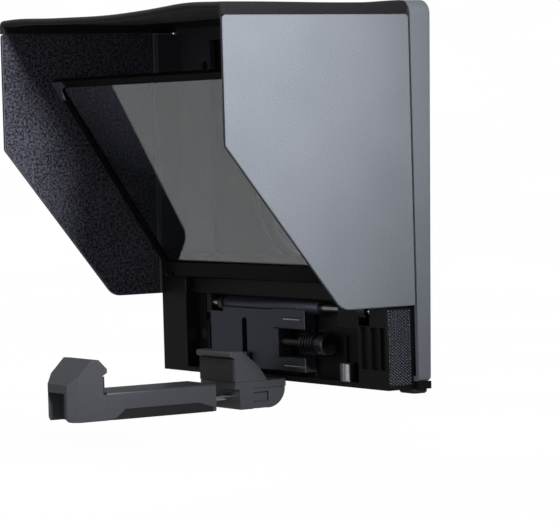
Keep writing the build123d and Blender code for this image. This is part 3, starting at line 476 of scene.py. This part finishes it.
def felt_lining(name, side, body, node):
    """A felt cut on a door's inner face, from the hinge side to the front edge."""
    rise = eased(90, DOOR_TOP - DOOR_BOTTOM - 2 * FELT_BORDER, FELT_EDGE)
    above = (DOOR_BOTTOM + FELT_BORDER + rise)[:, None]
    reach = front_edge(above) - FELT_REAR
    share = eased(60, 1.0, FELT_EDGE / 80)[None, :]
    ahead = FELT_REAR + share * reach
    gap = np.minimum(np.minimum(share, 1 - share) * reach, np.minimum(rise, rise[-1] - rise)[:, None])
    wave = 0.04 * np.sin(above / 7.3 + 0.6) * np.sin(ahead / 9.1)
    height = (FELT_THICK + wave) * edge_height(gap, FELT_EDGE)
    height[[0, -1], :] = 0
    height[:, [0, -1]] = 0
    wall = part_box("right_door_felt")[1].x / MM
    top = place(side * (wall - height), ahead, above)
    under = place(side * wall, ahead, above)
    lining = closed_pair(name, top, under)
    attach(lining, body)
    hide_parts(node)
    lining.data.materials.append(felt)
    area = float(0.5 * np.sum((reach[1:] + reach[:-1]) * np.diff(above, axis=0))) * MM * MM
    return area


# Needled polyester felt: matt fibres that scatter light at grazing angles, flecked at 1.3 mm.
felt, tree, shader, output = new_material("needled_polyester_felt")
spot = add(tree, "TexCoord").outputs["Object"]
fleck = add(tree, "TexNoise", {"Vector": spot, "Scale": 1 / (1.3 * MM), "Detail": 2.0, "Roughness": 0.7})
tuft = add(tree, "TexNoise", {"Vector": spot, "Scale": 1 / (14 * MM), "Detail": 3.0})
blend = add(tree, "Mix", {"Factor": 0.14, 2: fleck.outputs[0], 3: tuft.outputs[0]}, data_type="FLOAT")
spread = add(tree, "MapRange", {"Value": blend.outputs[0], "From Min": 0.38, "From Max": 0.64})
colour = add(
    tree, "Mix", {"Factor": spread.outputs[0], 6: linear("#07070A"), 7: linear("#44444F")}, data_type="RGBA"
)
bump = add(tree, "Bump", {"Height": fleck.outputs[0], "Strength": 1.0, "Distance": 0.25 * MM})
tree.links.new(colour.outputs[2], shader.inputs["Base Color"])
tree.links.new(bump.outputs[0], shader.inputs["Normal"])
shader.inputs["Roughness"].default_value = 0.95
shader.inputs["Specular IOR Level"].default_value = 0.1
shader.inputs["Sheen Weight"].default_value = 0.08
shader.inputs["Sheen Roughness"].default_value = 0.5
for side, hand in ((-1, "left"), (1, "right")):
    area = felt_lining(hand + "_felt_lining", side, hand + "_door", hand + "_door_felt")
print("felt area per door in mm2:", round(area / MM / MM))

# %% [markdown]
# ## Roof cloth
# The roof is a black woven cloth sewn to the rim and laid over the doors' top edges, where it turns down
# a few millimetres. It has been folded many times, so its front hem waves a little: it sags in the
# middle and stands up over each door. The middle surface is a grid: across, a path that goes up one
# side, round a small bend and over to the other; along, from a strip that turns down inside the rim to
# the hem, which curls under.

# %% Roof cloth
CLOTH, BEND, HEM_ROUND, HEM_BACK = 1.3, 2.0, 0.95, 7.0
ROOF_HALF, ROOF_LEVEL, SKIRT_LOW, REAR_DROP = 107.2, 182.7, 177.5, 4.6
ROOF_REAR, ROOF_FRONT, RIM_RISE = 1.3, 103.0, 26
skirt = SKIRT_LOW + np.array([0, 0.1, 1.2, ROOF_LEVEL - BEND - SKIRT_LOW])
round_off = np.linspace(0, np.pi / 2, 7)[1:-1]
bend_x = ROOF_HALF - BEND * (1 - np.cos(round_off))
bend_w = ROOF_LEVEL - BEND + BEND * np.sin(round_off)
half_x = np.concatenate([np.full(4, ROOF_HALF), bend_x, np.linspace(ROOF_HALF - BEND, 0, 40)])
half_w = np.concatenate([skirt, bend_w, np.full(40, ROOF_LEVEL)])
path_x = np.concatenate([-half_x, half_x[-2::-1]])[:, None]
path_w = np.concatenate([half_w, half_w[-2::-1]])[:, None]
curl = np.linspace(0, np.pi, 9)[1:]
run = np.linspace(ROOF_REAR + 0.4, ROOF_FRONT, 62)
rear = np.linspace(-REAR_DROP, 0, 6)[:-1]
hem = np.linspace(ROOF_FRONT, ROOF_FRONT - HEM_BACK, 6)[1:]
along = np.concatenate([np.full(5, ROOF_REAR), run, ROOF_FRONT + HEM_ROUND * np.sin(curl), hem])[None, :]
under = np.concatenate([rear, 0 * run, -HEM_ROUND * (1 - np.cos(curl)), np.full(5, -2 * HEM_ROUND)])[None, :]
on_top = np.clip((path_w - SKIRT_LOW) / (ROOF_LEVEL - SKIRT_LOW), 0, 1)
bumps = (
    -1.1 * np.exp(-((path_x / 40) ** 2))
    + 1.2 * np.exp(-(((path_x + 92) / 26) ** 2))
    + 1.2 * np.exp(-(((path_x - 76) / 24) ** 2))
)
forward = np.clip(along / ROOF_FRONT, 0, 1)
ripples = 0.25 * np.sin(path_x / 11.0 + along / 23.0) * np.sin(np.pi * forward)
to_rim = np.clip((RIM_RISE - along) / RIM_RISE, 0, 1)
lift = on_top * (bumps * forward**1.5 + ripples + to_rim**2 * (3 - 2 * to_rim))
hem_in = 1 - 0.006 * (np.clip(under / HEM_ROUND, -2, 0)) ** 2
cloth_points = place(path_x * hem_in, along, path_w + under * on_top + lift)
roof = grid_mesh("roof_cloth", cloth_points)
thicken = roof.modifiers.new("thickness", "SOLIDIFY")
thicken.thickness = CLOTH * MM
thicken.offset = 0
soften = roof.modifiers.new("soft", "SUBSURF")
soften.levels = soften.render_levels = 1
# A plain weave of 0.5 mm threads, drawn at 1 mm so that it shows.
cloth, tree, shader, output = new_material("black_woven_polyester")
spot = add(tree, "TexCoord").outputs["Object"]
weft = add(tree, "TexWave", {"Vector": spot, "Scale": 1 / (7 * MM), "Distortion": 1.5}, bands_direction="X")
warp = add(tree, "TexWave", {"Vector": spot, "Scale": 1 / (7 * MM), "Distortion": 1.5}, bands_direction="Y")
weave = add(tree, "Math", {0: weft.outputs[1], 1: warp.outputs[1]}, operation="MULTIPLY")
fibre = add(tree, "TexNoise", {"Vector": spot, "Scale": 1 / (1.1 * MM), "Detail": 2.0})
mixed = add(tree, "Mix", {"Factor": 0.6, 2: weave.outputs[0], 3: fibre.outputs[0]}, data_type="FLOAT")
colour = add(
    tree, "Mix", {"Factor": mixed.outputs[0], 6: linear("#060607"), 7: linear("#201F22")}, data_type="RGBA"
)
bump = add(tree, "Bump", {"Height": mixed.outputs[0], "Strength": 0.8, "Distance": 0.2 * MM})
tree.links.new(colour.outputs[2], shader.inputs["Base Color"])
tree.links.new(bump.outputs[0], shader.inputs["Normal"])
shader.inputs["Roughness"].default_value = 0.85
shader.inputs["Specular IOR Level"].default_value = 0.2
shader.inputs["Sheen Weight"].default_value = 0.05
shader.inputs["Sheen Roughness"].default_value = 0.4
roof.data.materials.append(cloth)
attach(roof, "housing")
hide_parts("roof_fabric")
print("roof cloth", cloth_points.shape[:2])

# %% [markdown]
# ## Side grips
# The base has a grip moulded into each side: a field of small pointed diamonds for the fingers. Two
# families of slanting V-grooves cross each other, so the height at a point is the lower of two triangle
# waves, one for each family.

# %% Side grips
DIAMOND_DEEP, DIAMOND_TALL, DIAMOND_HEIGHT, GRIP_RIM, TIP_SHARE = 2.0, 1.45, 0.6, 0.35, 0.55


def triangle_wave(t):
    """Runs 0, 1, 0 over each whole step of t."""
    return 1 - np.abs(2 * (t - np.floor(t)) - 1)


def side_grip(side, name, node):
    """A diamond-knurled pad on the base's side, flush with it at the pad's border."""
    low, high = (np.array(c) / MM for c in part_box(node))
    deep = np.linspace(0, high[1] - low[1], 61)
    tall = np.linspace(0, high[2] - low[2], 253)
    deep, tall = (np.concatenate([[s[0]], s, [s[-1]]]) for s in (deep, tall))
    y, z = np.meshgrid(deep, tall, indexing="ij")
    first = triangle_wave(y / DIAMOND_DEEP + z / DIAMOND_TALL)
    second = triangle_wave(y / DIAMOND_DEEP - z / DIAMOND_TALL)
    border = np.minimum(np.minimum(y, deep[-1] - y), np.minimum(z, tall[-1] - z))
    rim = np.clip(border / GRIP_RIM - 1, 0, 1)
    tooth = DIAMOND_HEIGHT * np.minimum(1.0, 1.25 * np.minimum(first, second)) * rim
    floor_x, top_x = (low[0], high[0]) if side > 0 else (-high[0], -low[0])
    x = top_x - DIAMOND_HEIGHT + tooth
    x[[0, -1], :] = floor_x
    x[:, [0, -1]] = floor_x
    face = np.stack([side * x, low[1] + y, low[2] + z], axis=-1) * MM
    base = face.copy()
    base[..., 0] = side * floor_x * MM
    pad = closed_pair(name, face, base)
    pad.data.polygons.foreach_set("use_smooth", np.zeros(len(pad.data.polygons), bool))
    pad.data.materials.append(grip_abs)
    pad.data.materials.append(tip_painted_highlight_abs)
    middles = np.empty(3 * len(pad.data.polygons), np.float32)
    pad.data.polygons.foreach_get("center", middles)
    # The upper faces of each diamond get the lighter tip plastic, a painted highlight.
    tip_highlight_faces = side * middles[0::3] / MM > top_x - (1 - TIP_SHARE) * DIAMOND_HEIGHT
    pad.data.polygons.foreach_set("material_index", tip_highlight_faces.astype(np.int32))
    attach(pad, "housing")
    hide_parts(node)
    return pad


grip_abs = moulded("black_diamond_grip_abs", "#101013", "#17171B", 0.9, 0.35, 0.008)
# The tips get a lighter, glossier plastic than the grooves: the lighter colour is a painted highlight on each
# diamond.
tip_painted_highlight_abs = moulded("grip_tip_painted_highlight_abs", "#474C57", "#565C68", 0.9, 0.25, 0.004)
for side, hand in ((-1, "left"), (1, "right")):
    pad = side_grip(side, hand + "_grip_pad", "side_grip_" + hand)
print("grip faces:", len(pad.data.polygons))
